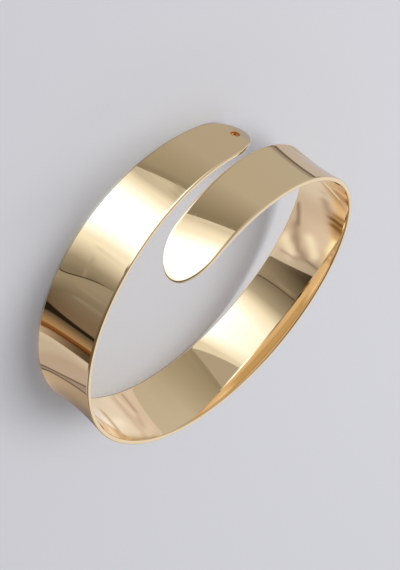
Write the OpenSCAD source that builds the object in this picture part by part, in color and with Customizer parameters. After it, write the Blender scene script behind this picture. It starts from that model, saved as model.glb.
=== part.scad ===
// Upper arm cuff: one strip of sheet metal with tapered, rounded ends, bent into
// an oval loop so that the two ends pass each other side by side. The low end
// has a small drilled hole near its tip. The cuff lies on its lower rim, as it
// rests by itself, with the loop's long way along X and both ends at the front.

/* [Strip] */
// Length of the flat strip from tip to tip
strip_len = 267.4; // [255:0.1:280]
// Width of the strip between its tapered ends
band_w = 18; // [14:0.5:22]
// Thickness of the sheet
wall = 1.1; // [0.8:0.1:1.6]
// Bevel that softens the long edges of both rims
edge_ease = 0.25; // [0.1:0.05:0.35]

/* [Loop] */
// Length of the oval loop over its outer face
loop_l = 80.4; // [76:0.2:86]
// Width of the oval loop over its outer face
loop_w = 62.2; // [58:0.2:68]
// Which way the low tip's outer face looks, in degrees from straight ahead
low_tip_at = -62; // [-75:1:-45]
// Gap that the climbing strip leaves beside itself after one turn
ends_gap = 1.8; // [1:0.1:5]

/* [Low end] */
// Length over which the low end tapers
low_taper_len = 87; // [60:1:110]
// How far the lower rim has come in at the low tip
low_lower_in = 8.6; // [5:0.2:10]
// How far the upper rim has bowed out at the low tip
low_upper_out = 2; // [0:0.2:3]
// Length of the low end's rounded tip
low_tip_len = 9.1; // [6:0.1:14]

/* [High end] */
// Length over which the high end tapers
high_taper_len = 180; // [120:5:200]
// How far the lower rim has come in at the high tip
high_lower_in = 2.4; // [0:0.2:4]
// How far the upper rim has come in at the high tip
high_upper_in = 2.8; // [0:0.2:4]
// Length of the high end's rounded tip
high_tip_len = 10.8; // [7:0.1:16]

/* [Hole] */
// Diameter of the drilled hole
hole_d = 2; // [1:0.1:2.6]
// Distance from the low tip to the middle of the hole
hole_from_tip = 3.4; // [2.6:0.1:6]

/* [Hidden] */

// Spacing of the cross-sections along the strip, and their number at each tip
section_step = 2;
tip_sections = 9;
// Width of the small flat that closes each rounded tip
tip_flat = 1.2;
// How far the drill runs past each face
drill_over = 1;

// The oval is a circle with a few waves laid on it. They give its support
// function: the distance from the middle of the loop to the tangent of the
// outer face, for each direction that the face can look, counted in degrees
// from straight ahead (-Y) towards +X. The first wave makes the loop longer
// than wide. The small ones are the unevenness of a loop bent by hand: each
// row has how often the wave goes round and its heights as shares of the
// mean radius.
times = 0;
cos_part = 1;
sin_part = 2;
hand_bend = [
    [3, 0.0056, 0.0028],
    [4, -0.0056, -0.0039]
];
mean_r = (loop_l + loop_w) / 4;
waves = concat(
    [[2, -(loop_l - loop_w) / 4, 0]],
    [for (row = hand_bend) [row[times], mean_r * row[cos_part], mean_r * row[sin_part]]]
);
circle_r = mean_r * (1 - sum([for (row = hand_bend) row[cos_part] * cos(90 * row[times])]));

// One turn of the loop, and how far the strip climbs over its whole length
turn_len = 2 * PI * circle_r;
climb = (band_w + ends_gap) * strip_len / turn_len;

// Points of the lower rim that touch the table, as shares of the strip's length
rest_shares = [0.04, 0.44, 0.47];

function sum(list, i = 0) = i < len(list) ? list[i] + sum(list, i + 1) : 0;
function unit(v) = v / norm(v);

// Height and slope of one wave in the direction a
function wave(w, a) = w[cos_part] * cos(w[times] * a) + w[sin_part] * sin(w[times] * a);
function wave_slope(w, a) =
    w[times] * (w[sin_part] * cos(w[times] * a) - w[cos_part] * sin(w[times] * a));

// The outer face where it looks in the direction a, in plan
function outward(a) = [sin(a), -cos(a)];
function along(a) = [cos(a), sin(a)];
function face_at(a) =
    (circle_r + sum([for (w = waves) wave(w, a)])) * outward(a)
    + sum([for (w = waves) wave_slope(w, a)]) * along(a);

// The bending radius there, and the way round the loop from direction 0
function bend_r(a) = circle_r + sum([for (w = waves) (1 - w[times] ^ 2) * wave(w, a)]);
function way_round(a) =
    circle_r * a * PI / 180
    - sum([for (w = waves) (1 - w[times] ^ 2) / w[times] ^ 2 * wave_slope(w, a)]);

// The direction in which the face looks at station s, measured along the strip
// from the low tip, found in a few steps of Newton's method
function facing(s) = facing_step(s, low_tip_at + s / circle_r * 180 / PI, 6);
function facing_step(s, a, steps) =
    let (miss = s - way_round(a) + way_round(low_tip_at))
    steps == 0 ? a : facing_step(s, a + miss / bend_r(a) * 180 / PI, steps - 1);

// How far an end's taper has gone at a distance d from its tip, from 0 to 1,
// and the share of the width that its elliptical tip leaves
function taper(d, len) = max(0, 1 - d / len) ^ 2;
function tip_round(d, len) = sqrt(1 - max(0, 1 - d / len) ^ 2);

// The strip's lower and upper rim at station s, before the loop is laid down
function middle_z(s) = climb * (s / strip_len - 0.5);
function lower_cut(s) =
    -band_w / 2
    + low_lower_in * taper(s, low_taper_len)
    + high_lower_in * taper(strip_len - s, high_taper_len);
function upper_cut(s) =
    band_w / 2
    + low_upper_out * taper(s, low_taper_len)
    - high_upper_in * taper(strip_len - s, high_taper_len);
function half_w(s) =
    (upper_cut(s) - lower_cut(s)) / 2
    * min(tip_round(s, low_tip_len), tip_round(strip_len - s, high_tip_len));
function axis_z(s) = middle_z(s) + (upper_cut(s) + lower_cut(s)) / 2;
function lower_z(s) = axis_z(s) - half_w(s);
function upper_z(s) = axis_z(s) + half_w(s);

// A point at station s, at a depth below the outer face and a height z
function strip_point(s, depth, z) =
    let (a = facing(s), plan = face_at(a) - depth * outward(a))
    [plan.x, plan.y, z];

// The cross-section at station s: a rectangle with its corners taken off
function section(s) =
    let (lo = lower_z(s), hi = upper_z(s), e = edge_ease)
    [
        strip_point(s, 0, lo + e),
        strip_point(s, 0, hi - e),
        strip_point(s, e, hi),
        strip_point(s, wall - e, hi),
        strip_point(s, wall, hi - e),
        strip_point(s, wall, lo + e),
        strip_point(s, wall - e, lo),
        strip_point(s, e, lo)
    ];
corners = 8;

// Stations of the cross-sections: close together round each tip, which ends
// in its small flat, and evenly spaced between the tips
function flat_angle(tip_w) = asin(tip_flat / tip_w);
function tip_distances(tip_w, len) = [
    for (i = [0 : tip_sections])
        let (a = flat_angle(tip_w) + (90 - flat_angle(tip_w)) * i / tip_sections)
        len * (1 - cos(a))
];
low_tip_w = upper_cut(0) - lower_cut(0);
high_tip_w = upper_cut(strip_len) - lower_cut(strip_len);
body_len = strip_len - low_tip_len - high_tip_len;
body_sections = round(body_len / section_step);
high_distances = tip_distances(high_tip_w, high_tip_len);
stations = concat(
    tip_distances(low_tip_w, low_tip_len),
    [for (i = [1 : body_sections - 1]) low_tip_len + body_len * i / body_sections],
    [for (i = [tip_sections : -1 : 0]) strip_len - high_distances[i]]
);

band_points = [for (s = stations) each section(s)];
last_section = corners * (len(stations) - 1);
band_faces = concat(
    [[for (k = [0 : corners - 1]) k]],
    [
        for (i = [0 : len(stations) - 2], k = [0 : corners - 1])
            let (here = corners * i, next = here + corners, j = (k + 1) % corners)
            [here + j, here + k, next + k, next + j]
    ],
    [[for (k = [corners - 1 : -1 : 0]) last_section + k]]
);

// The loop's lean on the table: the plane of the three points that touch it is
// turned level about a level axis
feet = [for (share = rest_shares) strip_point(share * strip_len, 0, lower_z(share * strip_len))];
table_up = unit(cross(feet[1] - feet[0], feet[2] - feet[0]));
lean = acos(table_up.z);
lean_axis = unit(cross(table_up, [0, 0, 1]));
function laid_down(p) =
    p * cos(lean)
    + cross(lean_axis, p) * sin(lean)
    + lean_axis * (lean_axis * p) * (1 - cos(lean));

// The origin is the middle of the cuff's box, on the table
laid_points = [for (p = band_points) laid_down(p)];
laid_x = [for (p = laid_points) p.x];
laid_y = [for (p = laid_points) p.y];
laid_z = [for (p = laid_points) p.z];
seat = [
    -(min(laid_x) + max(laid_x)) / 2,
    -(min(laid_y) + max(laid_y)) / 2,
    -min(laid_z)
];

module lay_down() {
    translate(seat)
        rotate(a = lean, v = lean_axis)
            children();
}

module band() {
    polyhedron(points = band_points, faces = band_faces, convexity = 6);
}

module drill() {
    facing_hole = facing(hole_from_tip);
    translate(strip_point(hole_from_tip, wall / 2, axis_z(hole_from_tip)))
        rotate([0, 0, facing_hole])
            rotate([90, 0, 0])
                cylinder(d = hole_d, h = wall + 2 * drill_over, center = true, $fn = 48);
}

module cuff() {
    color("#dcc08c")
        lay_down()
            difference() {
                band();
                drill();
            }
}

cuff();
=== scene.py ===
"""An upper arm cuff of gold plated sheet brass, lying on its lower rim.

The strip is modelled flat, as it is cut, then bent into its oval loop and laid
down on the table. All sizes are in metres and all directions in degrees.
"""

import math

import bpy
import numpy as np
from mathutils import Matrix, Vector


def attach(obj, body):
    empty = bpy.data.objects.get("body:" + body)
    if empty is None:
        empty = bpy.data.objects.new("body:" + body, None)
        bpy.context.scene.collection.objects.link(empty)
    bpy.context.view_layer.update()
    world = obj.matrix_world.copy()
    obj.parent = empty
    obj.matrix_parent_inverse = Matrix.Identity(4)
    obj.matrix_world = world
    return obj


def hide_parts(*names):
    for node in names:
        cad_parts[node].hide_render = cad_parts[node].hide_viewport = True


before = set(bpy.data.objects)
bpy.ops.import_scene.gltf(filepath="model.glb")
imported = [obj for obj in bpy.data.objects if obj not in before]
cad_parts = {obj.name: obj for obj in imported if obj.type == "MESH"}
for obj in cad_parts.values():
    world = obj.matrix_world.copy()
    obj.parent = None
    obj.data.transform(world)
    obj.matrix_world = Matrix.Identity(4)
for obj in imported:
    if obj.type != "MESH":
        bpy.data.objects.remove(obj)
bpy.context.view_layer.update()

# The strip
STRIP_LEN = 0.2674
BAND_W = 0.018
WALL = 0.0011
RIM_ROUND = 0.0003
RIM_SEGMENTS = 4
# Two faces meet at a rim where the cosine of their turn is below this
RIM_COSINE = 0.5
# How far the plating is worn in from a rim
RIM_WEAR = 0.0005

# The loop over its outer face, and the gap that the climbing strip leaves
LOOP_L = 0.0804
LOOP_W = 0.0622
LOW_TIP_AT = -62
ENDS_GAP = 0.0018
# Unevenness of a loop bent by hand: how often each wave goes round, and its
# heights as shares of the mean radius
HAND_BEND = ((3, 0.0056, 0.0028), (4, -0.0056, -0.0039))
# Points of the lower rim that touch the table, as shares of the strip's length
REST_SHARES = (0.04, 0.44, 0.47)

# The bent sheet is a little hollow across: its rims flare outward
ACROSS_R = 0.072

# Low end
LOW_TAPER_LEN = 0.087
LOW_LOWER_IN = 0.0086
LOW_UPPER_OUT = 0.002
LOW_TIP_LEN = 0.0091
# High end
HIGH_TAPER_LEN = 0.180
HIGH_LOWER_IN = 0.0024
HIGH_UPPER_IN = 0.0028
HIGH_TIP_LEN = 0.0108

# Drilled hole near the low tip
HOLE_R = 0.001
HOLE_FROM_TIP = 0.0034
HOLE_SIDES = 48
# The hole's edges are eased by this share of the rims' rounding
HOLE_EASE = 0.4
# How far the sheet is opened before the hole is fitted, how wide the ring of
# faces round the hole is, and where the open edges lie that are then joined,
# all counted in radii of the hole
HOLE_OPENED = 1.8
HOLE_RING = 1.3
OPEN_EDGES = (1.15, 2.8)
# Edges nearer than this many radii are the hole's own
HOLE_EDGES = 1.1
# Where the hole's bare wall, which carries painted shade, gives way to plating, in roundings of a
# rim
BORE_FADE = (0.4, 0.6)

# Columns of faces along the body, turns of each tip, rows across each half
BODY_COLUMNS = 320
TIP_STEPS = 48
HALF_ROWS = 10
# Points of the flat strip closer than this are one
TOUCH = 1e-5

# Faces of a card between two of its lines, and from its near to its far side
CARD_STEPS = 8
CARD_ROWS = 56
# Slack that keeps rounding from counting a point to the line before its own
LINE_SLACK = 1e-4
# Least squared length of a streak's piece, so that a single point can be one
LEAST_RUN = 1e-9

MEAN_R = (LOOP_L + LOOP_W) / 4
WAVES = [(2, -(LOOP_L - LOOP_W) / 4, 0.0)]
WAVES += [(n, MEAN_R * c, MEAN_R * s) for n, c, s in HAND_BEND]
CIRCLE_R = MEAN_R * (1 - sum(c * math.cos(n * math.pi / 2) for n, c, s in HAND_BEND))
CLIMB = (BAND_W + ENDS_GAP) * STRIP_LEN / (2 * math.pi * CIRCLE_R)


def select_none():
    if bpy.context.object and bpy.context.object.mode != "OBJECT":
        bpy.ops.object.mode_set(mode="OBJECT")
    bpy.ops.object.select_all(action="DESELECT")


# The flat strip's own outline
def taper(distance, length):
    return np.maximum(0, 1 - distance / length) ** 2


def tip_round(distance, length):
    """Share of the width that an end's elliptical tip leaves."""
    return np.sqrt(1 - np.maximum(0, 1 - distance / length) ** 2)


def lower_cut(s):
    return (
        -BAND_W / 2
        + LOW_LOWER_IN * taper(s, LOW_TAPER_LEN)
        + HIGH_LOWER_IN * taper(STRIP_LEN - s, HIGH_TAPER_LEN)
    )


def upper_cut(s):
    return (
        BAND_W / 2
        + LOW_UPPER_OUT * taper(s, LOW_TAPER_LEN)
        - HIGH_UPPER_IN * taper(STRIP_LEN - s, HIGH_TAPER_LEN)
    )


def half_width(s):
    return (upper_cut(s) - lower_cut(s)) / 2


def axis_z(s):
    """Height of the strip's middle line once the strip climbs round the loop."""
    return CLIMB * (s / STRIP_LEN - 0.5) + (upper_cut(s) + lower_cut(s)) / 2


def from_hole(points):
    """How far points of the flat strip lie from the hole's middle, seen square on."""
    middle = np.array([HOLE_FROM_TIP, axis_z(HOLE_FROM_TIP)])
    return np.linalg.norm(points[..., [0, 2]] - middle, axis=-1)


# The bent oval loop
def face_at(a):
    """The outer face in plan where it looks in the direction a (radians)."""
    reach = CIRCLE_R + sum(c * np.cos(n * a) + s * np.sin(n * a) for n, c, s in WAVES)
    slope = sum(n * (s * np.cos(n * a) - c * np.sin(n * a)) for n, c, s in WAVES)
    x = reach * np.sin(a) + slope * np.cos(a)
    y = -reach * np.cos(a) + slope * np.sin(a)
    return x, y


def way_round(a):
    way = CIRCLE_R * a
    for n, c, s in WAVES:
        way = way - (1 - n * n) / n * (s * np.cos(n * a) - c * np.sin(n * a))
    return way


# The way round the loop for fine steps of direction, from a little before the
# low tip to a little past the high one
FINE_FROM = -2
FINE_TO = 430
FINE_STEPS = 8000
FINE = np.radians(np.linspace(LOW_TIP_AT + FINE_FROM, LOW_TIP_AT + FINE_TO, FINE_STEPS))
FINE_WAY = way_round(FINE) - way_round(math.radians(LOW_TIP_AT))


def facing(s):
    """Direction in which the outer face looks at station s along the strip."""
    return np.interp(s, FINE_WAY, FINE)


def bend(flat):
    """Takes points (station, depth below the outer face, height) to the loop."""
    s, depth, z = flat.T
    a = facing(s)
    across = z - axis_z(s)
    hollow = (half_width(s) ** 2 - across**2) / (2 * ACROSS_R)
    x, y = face_at(a)
    x = x - (depth + hollow) * np.sin(a)
    y = y + (depth + hollow) * np.cos(a)
    return np.stack([x, y, z], axis=1)


def table_turn():
    """The lean that puts the loop's three lowest points on the table."""
    feet = []
    for share in REST_SHARES:
        s = share * STRIP_LEN
        feet.append(Vector((*face_at(facing(s)), axis_z(s) - half_width(s))))
    up = (feet[1] - feet[0]).cross(feet[2] - feet[0])
    return np.array(up.rotation_difference(Vector((0, 0, 1))).to_matrix())


def lay_down(points):
    laid = points @ table_turn().T
    lowest, highest = laid.min(0), laid.max(0)
    middle = (lowest + highest) / 2
    return laid - (middle[0], middle[1], lowest[2])


# Edit mode aids
def vertex_array(obj):
    co = np.zeros(len(obj.data.vertices) * 3)
    obj.data.vertices.foreach_get("co", co)
    return co.reshape(-1, 3)


def put_vertices(obj, co):
    obj.data.vertices.foreach_set("co", np.ascontiguousarray(co, dtype=np.float32).ravel())
    obj.data.update()


def corner_vertices(mesh):
    index = np.zeros(len(mesh.loops), dtype=np.int32)
    mesh.loops.foreach_get("vertex_index", index)
    return index


def pick(obj, kind, test):
    """Opens the mesh for editing with the faces or edges selected that pass the test."""
    if bpy.context.mode != "OBJECT":
        bpy.ops.object.mode_set(mode="OBJECT")
    mesh = obj.data
    bpy.context.tool_settings.mesh_select_mode = (False, kind == "EDGE", kind == "FACE")
    for group in (mesh.vertices, mesh.edges, mesh.polygons):
        group.foreach_set("select", [False] * len(group))
    co = vertex_array(obj)
    for part in mesh.edges if kind == "EDGE" else mesh.polygons:
        if test(co[list(part.vertices)], part):
            part.select = True
            for corner in part.vertices:
                mesh.vertices[corner].select = True
    bpy.ops.object.mode_set(mode="EDIT")


# The cuff
def flat_blank():
    """The flat strip as a sheet: x runs from the low tip, z goes across from -1 to 1."""
    body_len = STRIP_LEN - LOW_TIP_LEN - HIGH_TIP_LEN
    bpy.ops.mesh.primitive_grid_add(
        x_subdivisions=BODY_COLUMNS,
        y_subdivisions=2 * HALF_ROWS,
        size=2,
        calc_uvs=False,
    )
    obj = bpy.context.object
    obj.name = "cuff_band"
    co = vertex_array(obj)
    middle = LOW_TIP_LEN + body_len / 2
    co = np.stack([middle + co[:, 0] * body_len / 2, co[:, 2], co[:, 1]], axis=1)
    put_vertices(obj, co)
    ends = (
        (LOW_TIP_LEN, LOW_TIP_LEN, -1),
        (STRIP_LEN - HIGH_TIP_LEN, HIGH_TIP_LEN, 1),
    )
    for station, length, way in ends:
        pick(
            obj,
            "EDGE",
            lambda p, edge: abs(p[:, 0] - station).max() < TOUCH and p[:, 2].min() > -TOUCH,
        )
        bpy.ops.mesh.spin(
            steps=TIP_STEPS,
            angle=-way * math.pi,
            center=(station, 0, 0),
            axis=(0, 1, 0),
        )
        bpy.ops.mesh.select_all(action="SELECT")
        bpy.ops.mesh.remove_doubles(threshold=TOUCH)
        bpy.ops.object.mode_set(mode="OBJECT")
        co = vertex_array(obj)
        beyond = (co[:, 0] - station) * way > TOUCH
        co[beyond, 0] = station + (co[beyond, 0] - station) * length
        put_vertices(obj, co)
    return obj


def cut_outline(obj):
    """Widens the blank across to the strip's real outline."""
    co = vertex_array(obj)
    co[:, 2] = axis_z(co[:, 0]) + co[:, 2] * half_width(co[:, 0])
    put_vertices(obj, co)


def drill(obj):
    """Opens the sheet round the hole and fits a clean ring of faces to it."""
    middle = (HOLE_FROM_TIP, 0, axis_z(HOLE_FROM_TIP))
    pick(obj, "FACE", lambda p, face: from_hole(p.mean(0)) < HOLE_OPENED * HOLE_R)
    bpy.ops.mesh.delete(type="FACE")
    bpy.ops.mesh.select_mode(type="EDGE")
    bpy.ops.mesh.primitive_circle_add(
        vertices=HOLE_SIDES,
        radius=HOLE_R,
        location=middle,
        rotation=(math.pi / 2, 0, 0),
        calc_uvs=False,
    )
    bpy.ops.mesh.extrude_region_move()
    bpy.ops.transform.resize(value=(HOLE_RING,) * 3, center_override=middle)
    bpy.ops.object.mode_set(mode="OBJECT")
    used = {}
    for face in obj.data.polygons:
        for key in face.edge_keys:
            used[key] = used.get(key, 0) + 1
    nearest, farthest = (radii * HOLE_R for radii in OPEN_EDGES)
    pick(
        obj,
        "EDGE",
        lambda p, edge: used.get(edge.key) == 1 and nearest < from_hole(p.mean(0)) < farthest,
    )
    bpy.ops.mesh.fill(use_beauty=True)
    bpy.ops.object.mode_set(mode="OBJECT")


def give_wall(obj):
    """Makes all faces look outward, adds the sheet's thickness and rounds the rims."""
    bpy.ops.object.mode_set(mode="EDIT")
    bpy.ops.mesh.select_all(action="SELECT")
    bpy.ops.mesh.normals_make_consistent(inside=False)
    bpy.ops.object.mode_set(mode="OBJECT")
    if sum(face.normal.y * face.area for face in obj.data.polygons) > 0:
        bpy.ops.object.mode_set(mode="EDIT")
        bpy.ops.mesh.flip_normals()
        bpy.ops.object.mode_set(mode="OBJECT")
    wall = obj.modifiers.new("wall", "SOLIDIFY")
    wall.thickness = WALL
    wall.offset = -1
    bpy.ops.object.modifier_apply(modifier=wall.name)
    round_rims(obj)
    bpy.ops.object.shade_smooth()
    even = obj.modifiers.new("even", "WEIGHTED_NORMAL")
    even.weight = 100
    bpy.ops.object.modifier_apply(modifier=even.name)


def round_rims(obj):
    """Rounds the rims, and less so the drilled hole's two edges."""
    mesh = obj.data
    co = vertex_array(obj)
    looks = {}
    for face in mesh.polygons:
        for key in face.edge_keys:
            looks.setdefault(key, []).append(face.normal)
    weight = mesh.attributes.new("bevel_weight_edge", "FLOAT", "EDGE")
    for edge in mesh.edges:
        first, second = looks[edge.key]
        if first.dot(second) < RIM_COSINE:
            of_hole = from_hole(co[edge.vertices[0]]) < HOLE_EDGES * HOLE_R
            weight.data[edge.index].value = HOLE_EASE if of_hole else 1
    rims = obj.modifiers.new("rims", "BEVEL")
    rims.width = RIM_ROUND
    rims.segments = RIM_SEGMENTS
    rims.limit_method = "WEIGHT"
    rims.use_clamp_overlap = False
    bpy.ops.object.modifier_apply(modifier=rims.name)


def keep_flat_map(obj):
    """Stores the flat strip's own measures as the piece's UV map, in metres."""
    co = vertex_array(obj)
    layer = obj.data.uv_layers.new(name="strip")
    index = corner_vertices(obj.data)
    uv = np.stack([co[index, 0], co[index, 2] + co[index, 1]], axis=1)
    layer.data.foreach_set("uv", np.ascontiguousarray(uv, dtype=np.float32).ravel())


def mark_rims(obj):
    """Stores how near each point lies to a rim or the hole, and whether it is in the hole."""
    co = vertex_array(obj)
    station = np.clip(co[:, 0], TOUCH, STRIP_LEN - TOUCH)
    ends = np.minimum(tip_round(station, LOW_TIP_LEN), tip_round(STRIP_LEN - station, HIGH_TIP_LEN))
    from_rim = half_width(station) * ends - np.abs(co[:, 2] - axis_z(station))
    past_hole = from_hole(co) - HOLE_R
    close = np.clip(1 - np.minimum(from_rim, past_hole) / RIM_WEAR, 0, 1)
    bore = np.interp(past_hole / RIM_ROUND, BORE_FADE, (1, 0))
    for name, values in (("rim", close), ("bore", bore)):
        layer = obj.data.attributes.new(name, "FLOAT", "POINT")
        layer.data.foreach_set("value", values.astype(np.float32))


def bend_and_lay(obj):
    """Bends the flat piece, and takes the shading of its faces round with it."""
    mesh = obj.data
    flat = vertex_array(obj)
    step = 1e-6
    sides = [(bend(flat + step * way) - bend(flat - step * way)) / (2 * step) for way in np.eye(3)]
    carry = np.linalg.inv(np.stack(sides, axis=2)).transpose(0, 2, 1)
    corners = np.zeros(len(mesh.loops) * 3, dtype=np.float32)
    mesh.corner_normals.foreach_get("vector", corners)
    looks = np.einsum("kij,kj->ki", carry[corner_vertices(mesh)], corners.reshape(-1, 3))
    looks = looks @ table_turn().T
    looks /= np.linalg.norm(looks, axis=1)[:, None]
    put_vertices(obj, lay_down(bend(flat)))
    mesh.normals_split_custom_set([tuple(look) for look in looks])


def make_cuff():
    obj = flat_blank()
    cut_outline(obj)
    drill(obj)
    give_wall(obj)
    keep_flat_map(obj)
    mark_rims(obj)
    bend_and_lay(obj)
    return obj


# Finishes
PLATING = (0.945, 0.735, 0.455, 1)
THIN_PLATING = (0.93, 0.70, 0.47, 1)
PINHOLE_BROWN = (0.42, 0.27, 0.14, 1)
# Bare brass of the drilled hole's wall, darkened to a deep orange-brown that is painted shade of
# the hole's inside
BARE_BRASS_WITH_PAINTED_SHADE = (0.8, 0.4, 0.13, 1)
PINHOLE_STRENGTH = 0.7

# Patterns on the plating: repeats per metre along and across the strip, the
# turn against it, and the noise's detail
HAIRLINES = ((60, 5200), 2, 3)
STRAY_LINES = ((110, 3600), -17, 2)
HAZE_PATCHES = ((70, 140), 8, 2)
RUBBED_SPOTS = ((900, 900), 0, 4)
# Which part of each noise shows
STRAY_SHOWS = (0.62, 0.74)
HAZE_SHOWS = (0.42, 0.72)
RUBS_SHOW = (0.35, 0.7)
# Wear along the rims doesn't fall below this share
LEAST_WEAR = 0.35

# Places for pinholes per metre, a pinhole's size within its place, and which
# of the places have one
PINHOLE_PLACES = 210
PINHOLE_SIZE = (0.02, 0.055)
PINHOLE_CHANCE = (0.8, 0.82)

# Roughness of the polish, and what each mark adds to it
POLISH = 0.012
HAIR_ROUGH = 0.012
HAZE_ROUGH = 0.02
STRAY_ROUGH = 0.03
WEAR_ROUGH = 0.1
PINHOLE_ROUGH = 0.35
BORE_ROUGH = 0.2

# Relief of the marks, in steps of this height
RELIEF_STEP = 0.0000012
HAIR_RELIEF = 0.2
STRAY_RELIEF = 0.5
PINHOLE_RELIEF = 20


def new_material(name):
    material = bpy.data.materials.new(name)
    material.use_nodes = True
    return material, material.node_tree


def add_node(tree, kind, x, y, **settings):
    node = tree.nodes.new(kind)
    node.location = (x, y)
    for name, value in settings.items():
        setattr(node, name, value)
    return node


def pattern(tree, place, look, x, y):
    """A noise pattern on the flat strip, stretched and turned as wanted."""
    repeats, turn, detail = look
    stretch = add_node(tree, "ShaderNodeMapping", x - 200, y)
    stretch.inputs["Scale"].default_value = (*repeats, 1)
    stretch.inputs["Rotation"].default_value = (0, 0, math.radians(turn))
    tree.links.new(place, stretch.inputs["Vector"])
    noise = add_node(tree, "ShaderNodeTexNoise", x, y)
    noise.inputs["Scale"].default_value = 1
    noise.inputs["Detail"].default_value = detail
    tree.links.new(stretch.outputs["Vector"], noise.inputs["Vector"])
    return noise.outputs["Fac"]


def spread(tree, value, shows, becomes, x, y):
    """Takes a value from one range to another, and holds it within."""
    node = add_node(tree, "ShaderNodeMapRange", x, y, interpolation_type="SMOOTHSTEP")
    for name, number in zip(("From Min", "From Max", "To Min", "To Max"), (*shows, *becomes)):
        node.inputs[name].default_value = number
    tree.links.new(value, node.inputs["Value"])
    return node.outputs["Result"]


def combine(tree, how, x, y, *parts):
    """One step of arithmetic on outputs and plain numbers."""
    node = add_node(tree, "ShaderNodeMath", x, y, operation=how)
    for socket, part in zip(node.inputs, parts):
        if isinstance(part, (int, float)):
            socket.default_value = part
        else:
            tree.links.new(part, socket)
    return node.outputs["Value"]


def tinted(tree, first, second, share, x, y):
    """Goes from the first colour to the second where the share is 1."""
    node = add_node(tree, "ShaderNodeMix", x, y, data_type="RGBA")
    if isinstance(first, tuple):
        node.inputs["A"].default_value = first
    else:
        tree.links.new(first, node.inputs["A"])
    node.inputs["B"].default_value = second
    tree.links.new(share, node.inputs["Factor"])
    return node.outputs["Result"]


def gold_plate():
    """Mirror polish with faint polishing streaks, wiped haze, pinholes and worn rims."""
    material, tree = new_material("polished_gold_plate")
    shader = tree.nodes["Principled BSDF"]
    shader.inputs["Metallic"].default_value = 1
    strip = add_node(tree, "ShaderNodeUVMap", -1500, 200, uv_map="strip").outputs["UV"]

    # Hairlines of the polishing mop, along the strip and a little askew
    hairs = pattern(tree, strip, HAIRLINES, -1100, 400)
    strays = pattern(tree, strip, STRAY_LINES, -1100, 100)
    stray_lines = spread(tree, strays, STRAY_SHOWS, (0, 1), -900, 100)
    # Haze left by wiping, in soft patches a centimetre across
    patches = pattern(tree, strip, HAZE_PATCHES, -1100, -200)
    haze = spread(tree, patches, HAZE_SHOWS, (0, 1), -900, -200)

    # Pinholes in the plating, here and there
    pins = add_node(tree, "ShaderNodeTexVoronoi", -1100, -500)
    pins.inputs["Scale"].default_value = PINHOLE_PLACES
    tree.links.new(strip, pins.inputs["Vector"])
    pit = spread(tree, pins.outputs["Distance"], PINHOLE_SIZE, (1, 0), -900, -500)
    chance = add_node(tree, "ShaderNodeSeparateColor", -900, -700)
    tree.links.new(pins.outputs["Color"], chance.inputs["Color"])
    kept = spread(tree, chance.outputs["Red"], PINHOLE_CHANCE, (0, 1), -700, -700)
    pit = combine(tree, "MULTIPLY", -500, -500, pit, kept)

    # Wear along both rims and round the hole
    rim = add_node(tree, "ShaderNodeAttribute", -1100, -900, attribute_name="rim").outputs["Fac"]
    rubs = pattern(tree, strip, RUBBED_SPOTS, -1100, -1100)
    rub = spread(tree, rubs, RUBS_SHOW, (LEAST_WEAR, 1), -900, -1100)
    wear = combine(tree, "MULTIPLY", -700, -900, rim, rub)

    # The drilled hole's wall is bare brass, rougher than the plating, and its deep orange-brown
    # colour is painted shade of the hole's inside
    bore = add_node(tree, "ShaderNodeAttribute", -1100, -1300, attribute_name="bore").outputs["Fac"]

    # Colour: brassier where the plating is thin, dull brown in the pinholes, and painted shade in
    # the drilled hole
    dull = combine(tree, "MULTIPLY", -300, 100, pit, PINHOLE_STRENGTH)
    colour = tinted(tree, PLATING, THIN_PLATING, wear, -300, 300)
    colour = tinted(tree, colour, PINHOLE_BROWN, dull, -100, 300)
    # Painted shade: the hole's wall is coloured deep orange-brown
    colour = tinted(tree, colour, BARE_BRASS_WITH_PAINTED_SHADE, bore, 100, 300)
    tree.links.new(colour, shader.inputs["Base Color"])

    # Roughness: a mirror, with a little more where streaks, haze, rims and pits are
    rough = combine(tree, "MULTIPLY_ADD", -500, 0, hairs, HAIR_ROUGH, POLISH)
    marks = (
        (haze, HAZE_ROUGH),
        (stray_lines, STRAY_ROUGH),
        (wear, WEAR_ROUGH),
        (pit, PINHOLE_ROUGH),
        (bore, BORE_ROUGH),
    )
    for row, (mark, share) in enumerate(marks, start=1):
        added = combine(tree, "MULTIPLY", -300, -100 * row, mark, share)
        rough = combine(tree, "ADD", -100, -100 * row, rough, added)
    tree.links.new(rough, shader.inputs["Roughness"])

    # Relief: hairlines far finer than the eye resolves, and the pinholes
    relief = combine(tree, "MULTIPLY", -500, -650, hairs, HAIR_RELIEF)
    faint = combine(tree, "MULTIPLY", -500, -800, stray_lines, STRAY_RELIEF)
    relief = combine(tree, "SUBTRACT", -300, -650, relief, faint)
    sunk = combine(tree, "MULTIPLY", -300, -800, pit, PINHOLE_RELIEF)
    relief = combine(tree, "SUBTRACT", -100, -650, relief, sunk)
    bump = add_node(tree, "ShaderNodeBump", 100, -650)
    bump.inputs["Strength"].default_value = 1
    bump.inputs["Distance"].default_value = RELIEF_STEP
    tree.links.new(relief, bump.inputs["Height"])
    tree.links.new(bump.outputs["Normal"], shader.inputs["Normal"])
    return material


def plain(name, colour, roughness):
    material, tree = new_material(name)
    shader = tree.nodes["Principled BSDF"]
    shader.inputs["Base Color"].default_value = (*colour, 1)
    shader.inputs["Roughness"].default_value = roughness
    return material


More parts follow.
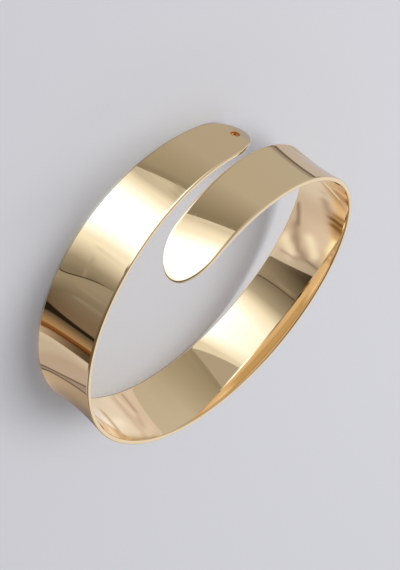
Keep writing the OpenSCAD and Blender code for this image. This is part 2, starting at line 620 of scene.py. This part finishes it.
# What the gold mirrors
# The polished sheet mirrors its surroundings, so a few cards that only reflections
# see stand round it. A card is a list of bands, side by side round the cuff. A band
# says at which angle it begins (degrees from straight ahead, -Y, towards +X), how
# bright it is, over how many degrees it comes in, how far its beginning slants on
# the way to the card's middle and far side, and its tint. Two numbers for its
# brightness hold at the card's near and far side.
PLAIN = (1, 1, 1)
ROSE = (1, 0.97, 1.04)
BLUSH = (1, 0.92, 0.98)
TAN = (1, 0.87, 0.8)
LILAC = (1, 1.01, 1.25)
AMBER = (1, 0.85, 0.68)
YELLOW = (1, 1.0, 0.73)
STRAW = (1, 0.9, 0.74)
KHAKI = (1, 1, 0.94)
ORANGE = (1, 0.72, 0.46)
BROWN = (1, 0.64, 0.26)
RUST = (1, 0.47, 0.2)


def band(begins, bright, comes_in=1, slants=(0, 0), tint=PLAIN):
    near, far = bright if isinstance(bright, tuple) else (bright, bright)
    return begins, near, far, comes_in, slants, tint


def streak(curve, reach, bright, tint=PLAIN, strength=1):
    """A soft streak over the bands, along points (angle, share of the way out).

    Its reach to each side is in degrees and in the same share.
    """
    return curve, reach, bright, tint, strength


# On the table, round the cuff
NEAR_BANDS = (
    band(-180, 0.8),
    band(-140, 0.45, 40, tint=LILAC),
    band(-82, 0.43, 20, (-11, -22), LILAC),
    # A khaki wall with a sharp end
    band(-68.3, 0.47, 0.4, (-10.7, -20)),
    band(-41, 0.36, 17, (-3.6, -11), KHAKI),
    band(-31.5, 0.29, 3, (-3.2, -9.5), KHAKI),
    # The white card: a thin bright edge, then brighter towards its middle
    band(-28.9, 0.62, 0.25, (-2.9, -9.5)),
    band(-27.9, (0.58, 0.66), 0.6, (-2.9, -9.5)),
    band(-26, (0.95, 1), 3.4, (-0.2, -2.6)),
    band(-19.6, 2.6, 7.6, (-0.8, -2.2)),
    band(1.4, 1.05, 7, (0.4, 0)),
    band(11, 0.36, 10, (0.7, 1.8)),
    band(19, 0.24, 5, (0.5, 0)),
    # A thin dark gap beside an olive wall
    band(21.6, 0.08, 0.3, (2.3, -0.8)),
    band(22.2, 0.34, 0.3, (2.3, -0.8)),
    band(29, (0.15, 0.25), 6),
    band(33, (0.12, 0.21), 7, (3, 4), TAN),
    # A black gap, an orange-brown board and its edge
    band(35.6, 0.02, 0.6, (5.6, 10.2)),
    band(39.9, 0.15, 0.9, (4, 7.8), AMBER),
    band(42.4, 0.41, 3.8, (4.2, 8.1), ORANGE),
    band(44.8, (0.26, 0.2), 0.7, (4.5, 8.1), RUST),
    band(46.1, (0.18, 0.08), 0.7, (4.5, 8.3), RUST),
    band(46.9, (0.55, 0.1), 1.2, (4.5, 8.6), TAN),
    # A pale wall with two thin lines, then a dim corner
    band(49.5, 0.66, 0.6, (5.4, 10), ROSE),
    band(52.5, 0.58, 3, (4, 9), ROSE),
    band(60, 0.51, 4, (2, 3), BLUSH),
    band(64.2, 0.17, 0.6, (7.8, 8.9), BLUSH),
    band(65.2, 0.36, 0.6, (7.8, 8.9), BLUSH),
    band(66.4, 0.17, 0.6, (7.8, 11.4), BLUSH),
    band(67.5, (0.55, 0.42), 0.6, (7.8, 11.4), TAN),
    band(80, (0.35, 0.36), 8, (2, 5), TAN),
    band(90, 0.25, 8, tint=BLUSH),
    band(99, 0.19, 8, tint=LILAC),
    band(136, 0.5, 24),
    band(180, 0.8, 0),
)

# On the table, outside the near card
FAR_BANDS = (
    band(-180, 0.55, tint=ROSE),
    # A thin line, a dark gap and a pale wall
    band(-106.6, 0.47, 0.3, (-6.4, -12.7), ROSE),
    band(-106.1, 0.55, 0.3, (-6.4, -12.7), ROSE),
    band(-95.5, 0.17, 0.5, (-6.4, -12.7), ROSE),
    band(-92.5, 0.34, 0.6, (-6.4, -12.6), ROSE),
    band(-89, 0.5, 3, (-6.4, -12.4)),
    band(-84, 0.5, 4),
    band(-70, 0.27, 22, (15, 25), KHAKI),
    # The white card again, seen by the high end
    band(-58, 0.78, 0.3, (17, 27.6)),
    band(-57.2, 0.72, 0.5, (17, 27.6)),
    band(-48, 1.15, 7, (14.4, 23)),
    band(-38.4, 2.6, 8, (12.4, 20)),
    band(5, 0.25, 8),
    band(30, 0.14, 30, tint=AMBER),
    band(63, 0.55, 5, tint=ROSE),
    band(180, 0.6, 0),
)

# On the table, farther out still
BEYOND_BANDS = (
    band(-180, 0.6),
    band(-90, 0.5, 40),
    band(-20, 0.35, 30),
    band(15, 0.14, 20),
    band(90, 0.25, 30),
    band(140, 0.6, 40),
    band(180, 0.6, 0),
)

# A ring that hangs below the table: seen by the inner face
INNER_BANDS = (
    # A pale wall, and its smooth dimmer part
    band(-180, (0.98, 0.76), tint=ROSE),
    band(-150, (0.86, 0.82), 20, tint=ROSE),
    band(-132, 0.69, 8, tint=BLUSH),
    band(-116, 0.72, 6, tint=BLUSH),
    band(-103, (0.58, 0.55), 1.6, (1, 6)),
    band(-72, (0.57, 0.5), 16),
    band(-47, 0.35, 30, tint=KHAKI),
    band(-31.5, 0.31, 3, (2.4, 5), KHAKI),
    band(-28.6, 0.45, 1, (3.2, 4.7)),
    # The white card
    band(-12.4, 0.82, 0.4, (-4.1, -10.1)),
    band(-7, (1.5, 2.6), 8, (-2.5, -5.5)),
    band(11, (0.9, 1.1), 8, (0.5, 1)),
    band(18, (0.36, 0.5), 6, (0.3, 0.5)),
    band(25, (0.2, 0.28), 7),
    # A thin dark gap, an olive wall and a dark one
    band(29.5, (0.1, 0.14), 0.4, (0, -0.4)),
    band(30.3, (0.18, 0.35), 0.4, (0, -0.4)),
    band(37.2, (0.05, 0.25), 8),
    # A pale wall
    band(46.6, (0.46, 0.7), 0.4, (-3.4, -4.4), ROSE),
    band(52, (0.42, 0.85), 6, tint=BLUSH),
    band(62, (0.78, 0.62), 8, tint=BLUSH),
    band(84, (0.66, 0.62), 12, tint=BLUSH),
    band(108, 0.72, 20, tint=ROSE),
    band(150, 0.8, 30, tint=ROSE),
    band(180, (0.98, 0.76), 0, tint=ROSE),
)

# Over everything: bright behind the cuff and dim in front of it, which the rims
# pick up as thin lines
DOME_BANDS = (
    band(-180, 0.85),
    band(-110, 0.6, 50),
    band(-50, 0.4, 40),
    band(12, 0.13, 40),
    band(78, 0.25, 40),
    band(122, 0.6, 30),
    band(155, 0.85, 20),
    band(180, 0.85, 0),
)

NEAR_STREAKS = (
    # The white card's dim corner
    streak(((-35.5, 0.87), (-32, 0.89)), (1.2, 0.05), 0.48, KHAKI, 0.85),
    # Faint marks on the walls
    streak(((-31.5, 0.6), (-33.5, 0.85)), (0.4, 0.12), 0.68, strength=0.5),
    streak(((8.5, 0.75), (9.5, 0.98)), (0.4, 0.1), 0.62, strength=0.5),
    streak(((11.5, 0.75), (13, 0.98)), (0.4, 0.1), 0.7, strength=0.6),
    streak(((14, 0.75), (22, 0.75)), (1, 0.03), 0.4, strength=0.5),
    streak(((28, 0.8), (29, 0.98)), (0.5, 0.08), 0.36, strength=0.6),
    streak(((33, 0.8), (34, 0.98)), (0.5, 0.08), 0.34, strength=0.6),
)

INNER_STREAKS = (
    # Bright panels on both sides of the dark lines in the pale wall
    streak(((58, 0.2), (66, 0.42)), (4, 0.11), 1, PLAIN, 0.85),
    streak(((50.5, 0.58), (57, 0.86)), (4, 0.1), 0.95, PLAIN, 0.85),
    # Those dark lines, soft and curved
    streak(((51.6, 0), (51.6, 0.3)), (1, 0.08), 0.26, BLUSH, 0.9),
    streak(((51, 0.3), (48.5, 0.5), (48.5, 0.75)), (0.9, 0.08), 0.42, BLUSH, 0.7),
    streak(((53, 0.34), (55, 0.5), (61, 0.66)), (2.2, 0.07), 0.4, BLUSH, 0.9),
    streak(((61, 0.66), (70, 0.8)), (4, 0.09), 0.42, BLUSH, 0.9),
    streak(((72, 0.76), (90, 0.92)), (2.6, 0.05), 0.28, BLUSH, 0.85),
    streak(((98, 0.28), (107, 0.42), (115, 0.48)), (6, 0.08), 0.44, BLUSH, 0.9),
    # A yellow board along the top, and the brown slats beside it
    streak(((58, 0), (70, 0.04), (81, 0.08)), (4, 0.07), 0.85, AMBER),
    streak(((68, 0.03), (76, 0.05)), (4, 0.06), 1.15, YELLOW),
    streak(((80, 0.06), (84, 0.12)), (3, 0.09), 0.62, ORANGE, 0.8),
    streak(((86, 0.07), (104, 0.19)), (4.5, 0.13), 0.44, ORANGE, 0.95),
    streak(((88.5, 0.05), (90, 0.19)), (2.6, 0.09), 0.2, BROWN),
    streak(((95, 0.1), (96.5, 0.25)), (2, 0.09), 0.16, BROWN),
    streak(((102.6, 0.12), (103.6, 0.24)), (1.2, 0.07), 0.3, BROWN),
    streak(((110, 0.18), (118, 0.26), (123, 0.31)), (4.5, 0.1), 0.82, ORANGE, 0.95),
    streak(((126, 0.16), (132, 0.28), (142, 0.38), (157, 0.44)), (7, 0.11), 0.5, ORANGE, 0.97),
    streak(((130, 0.52),), (3, 0.08), 0.55, PLAIN, 0.8),
    # Soft lines on the far left, under an orange-brown edge
    streak(((-180, 0.36), (-150, 0.32), (-130, 0.25), (-118, 0.17)), (7, 0.07), 0.45, AMBER, 0.95),
    streak(((-180, 0.56), (-148, 0.63)), (6, 0.09), 1, ROSE, 0.8),
    streak(((-122, 0.34), (-112, 0.38)), (5, 0.1), 0.8, BLUSH, 0.8),
    streak(((-119, 0.5), (-116, 0.62)), (3, 0.07), 0.6, BLUSH, 0.8),
    streak(((-119, 0.76), (-121, 1.15)), (2.6, 0.1), 0.84, BLUSH, 0.85),
    streak(((-112, 0.8), (-110.5, 1.2)), (2, 0.1), 0.44, BLUSH, 0.9),
    streak(((-128, 0.7), (-126, 1.1)), (1.2, 0.1), 0.6, BLUSH, 0.7),
    streak(((-176, 0.12), (-164, 0.2)), (6, 0.05), 0.3, ORANGE, 0.9),
    # A brown corner and a dim one at the back
    streak(((-169, 0.24), (-168, 0.72)), (3.4, 0.11), 0.5, STRAW, 0.88),
    streak(((166, 0.28), (177, 0.37)), (7, 0.07), 0.42, LILAC, 0.9),
    # A lighter mark beside the dark gap
    streak(((31.5, 0.2), (31.8, 0.45)), (1, 0.12), 0.33, PLAIN, 0.8),
)

# The near and the far card reach from one oval to another, given by its half
# sizes along X and Y
NEAR_FROM = (0.041, 0.032)
NEAR_TO = (0.055, 0.051)
FAR_FROM = (0.056, 0.060)
FAR_TO = (0.068, 0.096)
# The oval where the near card ends, and its shorter reach on the left, which
# leaves room for the far card between these angles
NEAR_END = (0.0562, 0.0525)
SHORT_REACH = 0.045
SHORT_BETWEEN = (-150, -125, -95, -86)
# How far below the table's top these two cards lie, and the one beyond them
CARD_DROP = 0.0002
BEYOND_DROP = 0.0004
BEYOND_FROM = 0.07
BEYOND_REACH = 1.4
# The ring's radius, its top below the table, and how far it hangs down from there
RING_R = 0.08
RING_TOP = 0.010
RING_HANGS = 0.070
DOME_R = 1.2
DOME_DROP = 0.001


def oval(angle, half_sizes):
    """How far an oval round the cuff is from its middle in the direction of an angle."""
    a = np.radians(angle)
    half_x, half_y = half_sizes
    return 1 / np.hypot(np.sin(a) / half_x, np.cos(a) / half_y)


def near_reach(angle):
    """Where the near card ends: it leaves room for the far one on the left."""
    wide = oval(angle, NEAR_END)
    room = np.interp(angle, SHORT_BETWEEN, (0, 1, 1, 0))
    return wide - room * (wide - SHORT_REACH)


def standing(angle, out, height):
    """Points at a distance out from the cuff's middle, in the direction of each angle."""
    a = np.radians(angle)
    return np.stack([out * np.sin(a), -out * np.cos(a), height + np.zeros_like(a)], axis=1)


def near_place(angle, v):
    out = oval(angle, NEAR_FROM) * (1 - v) + oval(angle, NEAR_TO) * v
    return standing(angle, np.minimum(out, near_reach(angle)), -CARD_DROP)


def far_place(angle, v):
    out = oval(angle, FAR_FROM) * (1 - v) + oval(angle, FAR_TO) * v
    return standing(angle, np.maximum(out, near_reach(angle)), -CARD_DROP)


def beyond_place(angle, v):
    return standing(angle, BEYOND_FROM + BEYOND_REACH * v**3, -BEYOND_DROP)


def inner_place(angle, v):
    return standing(angle, RING_R, -RING_TOP - RING_HANGS * v)


def dome_place(angle, v):
    rise = np.radians(90 * v)
    return standing(angle, DOME_R * np.cos(rise), DOME_R * np.sin(rise) - DOME_DROP)


def glow_material():
    material, tree = new_material("studio_card")
    tree.nodes.clear()
    glow = add_node(tree, "ShaderNodeAttribute", 0, 0, attribute_name="glow")
    shine = add_node(tree, "ShaderNodeEmission", 200, 0)
    end = add_node(tree, "ShaderNodeOutputMaterial", 400, 0)
    tree.links.new(glow.outputs["Color"], shine.inputs["Color"])
    tree.links.new(shine.outputs["Emission"], end.inputs["Surface"])
    material.cycles.emission_sampling = "NONE"
    return material


CARD_GLOW = glow_material()

# A card's colour from its brightness, for red, green and blue: a factor and a
# power for the part up to 1, and a share of what goes beyond it
DARKEST = 0.02
DIM_FACTOR = np.array([1, 1.06, 1.12])
DIM_POWER = np.array([1, 1.09, 1.19])
OVER_SHARE = np.array([0.25, 0.45, 0.75])


def card_colour(bright, tint):
    """Dim cards are warmer, and the brightest ones lean to cream, as polished gold shows."""
    dim = np.clip(bright, DARKEST, 1)[:, None]
    over = np.maximum(bright - 1, 0)[:, None]
    return (DIM_FACTOR * dim**DIM_POWER + OVER_SHARE * over) * tint


def through(near, middle, far, v):
    """A smooth curve through its values at the near side, the middle and the far side."""
    return near + v * (4 * middle - 3 * near - far) + v * v * (2 * near + 2 * far - 4 * middle)


def card_lines(bands):
    """Where each band starts and has come in.

    A line holds its angle at the card's near side, middle and far side, its
    brightness at the near and far side, and its tint.
    """
    lines = []
    before = bands[0]
    for part in bands:
        begins, near, far, comes_in, slants, tint = part
        for side, shown in ((-0.5, before), (0.5, part)):
            at = begins + side * comes_in
            lines.append((at, at + slants[0], at + slants[1], shown[1], shown[2], *shown[5]))
        before = part
    return np.array(lines)


def streak_cover(curve, reach, angle, v):
    """How strongly each point is covered by a streak: 1 on its curve, 0 well outside."""
    nearest = np.full(len(angle), np.inf)
    points = [np.array(point) / reach for point in curve]
    begins = curve[0][0]
    turned = begins + (angle - begins + 180) % 360 - 180
    here = np.stack([turned / reach[0], v / reach[1]], axis=1)
    for start, end in zip(points, points[1:] or points):
        run = end - start
        along = np.clip((here - start) @ run / max(run @ run, LEAST_RUN), 0, 1)
        nearest = np.minimum(nearest, np.linalg.norm(here - start - along[:, None] * run, axis=1))
    return np.exp(-(nearest**2))


def make_card(name, bands, streaks, place, low, high):
    """A card that only reflections see, from its bands and the place of each point."""
    lines = card_lines(bands)
    select_none()
    bpy.ops.mesh.primitive_grid_add(
        x_subdivisions=CARD_STEPS * (len(lines) - 1),
        y_subdivisions=CARD_ROWS,
        size=2,
        calc_uvs=False,
    )
    obj = bpy.context.object
    obj.name = name
    co = vertex_array(obj)
    along = (co[:, 0] + 1) / 2 * (len(lines) - 1)
    v = low + (high - low) * (co[:, 1] + 1) / 2
    starts = np.stack([through(*line[:3], v) for line in lines], axis=0)
    starts = np.maximum.accumulate(starts, axis=0)
    first = np.clip(np.floor(along + LINE_SLACK).astype(int), 0, len(lines) - 2)
    share = along - first
    point = np.arange(len(co))
    angle = starts[first, point] * (1 - share) + starts[first + 1, point] * share
    row = lines[first] * (1 - share)[:, None] + lines[first + 1] * share[:, None]
    bright = row[:, 3] + (row[:, 4] - row[:, 3]) * np.clip(v, 0, 1)
    tint = row[:, 5:8]
    for curve, reach, streak_bright, streak_tint, strength in streaks:
        cover = strength * streak_cover(curve, reach, angle, v)
        bright = bright + (streak_bright - bright) * cover
        tint = tint + (streak_tint - tint) * cover[:, None]
    put_vertices(obj, place(angle, v))
    colour = np.ones((len(co), 4), dtype=np.float32)
    colour[:, :3] = card_colour(bright, tint)
    layer = obj.data.attributes.new("glow", "FLOAT_COLOR", "POINT")
    layer.data.foreach_set("color", colour.ravel())
    obj.data.materials.append(CARD_GLOW)
    only_mirrored(obj)


def only_mirrored(obj):
    obj.visible_camera = False
    obj.visible_diffuse = False
    obj.visible_transmission = False
    obj.visible_volume_scatter = False
    obj.visible_shadow = False


# The camera: its direction seen from what it looks at, its roll and its distance
CAMERA_AZIMUTH = -8.02
CAMERA_ELEVATION = 36.98
CAMERA_ROLL = 130.99
CAMERA_TARGET = (-0.001164, 0.000665, 0.011463)
CAMERA_DISTANCE = 0.4207
# Focal length and sensor in millimetres, and the range that the camera sees
CAMERA_LENS = 113.68
CAMERA_SENSOR = 36
CAMERA_SEES = (0.01, 20)

# The studio
FLOOR_R = 3
FLOOR_SIDES = 96
FLOOR_COLOUR = (0.72, 0.72, 0.75)
FLOOR_ROUGHNESS = 0.6
SKY_COLOUR = (0.9, 0.91, 0.95)
SKY_STRENGTH = 0.5
SOFTBOX_AT = (-0.35, 0.25, 0.8)
SOFTBOX_SIZE = 0.6
SOFTBOX_WATTS = 4.5


def make_camera():
    angles = (CAMERA_AZIMUTH, CAMERA_ELEVATION, CAMERA_ROLL)
    azimuth, elevation, roll = (math.radians(angle) for angle in angles)
    back = Vector(
        (
            math.sin(azimuth) * math.cos(elevation),
            -math.cos(azimuth) * math.cos(elevation),
            math.sin(elevation),
        )
    )
    right = Vector((0, 0, 1)).cross(back).normalized()
    up = back.cross(right)
    image_right = math.cos(roll) * right + math.sin(roll) * up
    image_up = -math.sin(roll) * right + math.cos(roll) * up
    data = bpy.data.cameras.new("camera")
    data.lens = CAMERA_LENS
    data.sensor_width = CAMERA_SENSOR
    data.clip_start, data.clip_end = CAMERA_SEES
    camera = bpy.data.objects.new("camera", data)
    bpy.context.scene.collection.objects.link(camera)
    place = Vector(CAMERA_TARGET) + back * CAMERA_DISTANCE
    turn = Matrix((image_right, image_up, back)).transposed()
    camera.matrix_world = Matrix.LocRotScale(place, turn, None)
    bpy.context.scene.camera = camera


def make_floor():
    select_none()
    bpy.ops.mesh.primitive_circle_add(
        vertices=FLOOR_SIDES,
        radius=FLOOR_R,
        fill_type="NGON",
        location=(0, 0, 0),
        calc_uvs=False,
    )
    floor = bpy.context.object
    floor.name = "floor"
    floor.data.materials.append(plain("pale_floor", FLOOR_COLOUR, FLOOR_ROUGHNESS))
    floor.visible_glossy = False


def make_light():
    world = bpy.data.worlds.new("studio")
    bpy.context.scene.world = world
    world.use_nodes = True
    sky = world.node_tree.nodes["Background"]
    sky.inputs["Color"].default_value = (*SKY_COLOUR, 1)
    sky.inputs["Strength"].default_value = SKY_STRENGTH
    light = bpy.data.lights.new("softbox", "AREA")
    light.energy = SOFTBOX_WATTS
    light.size = SOFTBOX_SIZE
    softbox = bpy.data.objects.new("softbox", light)
    softbox.location = SOFTBOX_AT
    softbox.rotation_euler = (-softbox.location).to_track_quat("-Z", "Y").to_euler()
    softbox.visible_glossy = False
    bpy.context.scene.collection.objects.link(softbox)


# Build
make_camera()

cuff = make_cuff()
cuff.data.materials.append(gold_plate())
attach(cuff, "root")
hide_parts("cuff")

make_floor()

# Each card's last two numbers say how far in and out it reaches, where 0 and 1
# are the near and the far side for which its bands are written
make_card("near_card", NEAR_BANDS, NEAR_STREAKS, near_place, -0.09, 1.15)
make_card("far_card", FAR_BANDS, (), far_place, -0.5, 1.25)
make_card("beyond_card", BEYOND_BANDS, (), beyond_place, 0, 1)
make_card("inner_card", INNER_BANDS, INNER_STREAKS, inner_place, 0.03, 1.4)
make_card("dome", DOME_BANDS, (), dome_place, 0, 1)

make_light()

bpy.context.scene.view_settings.view_transform = "Standard"
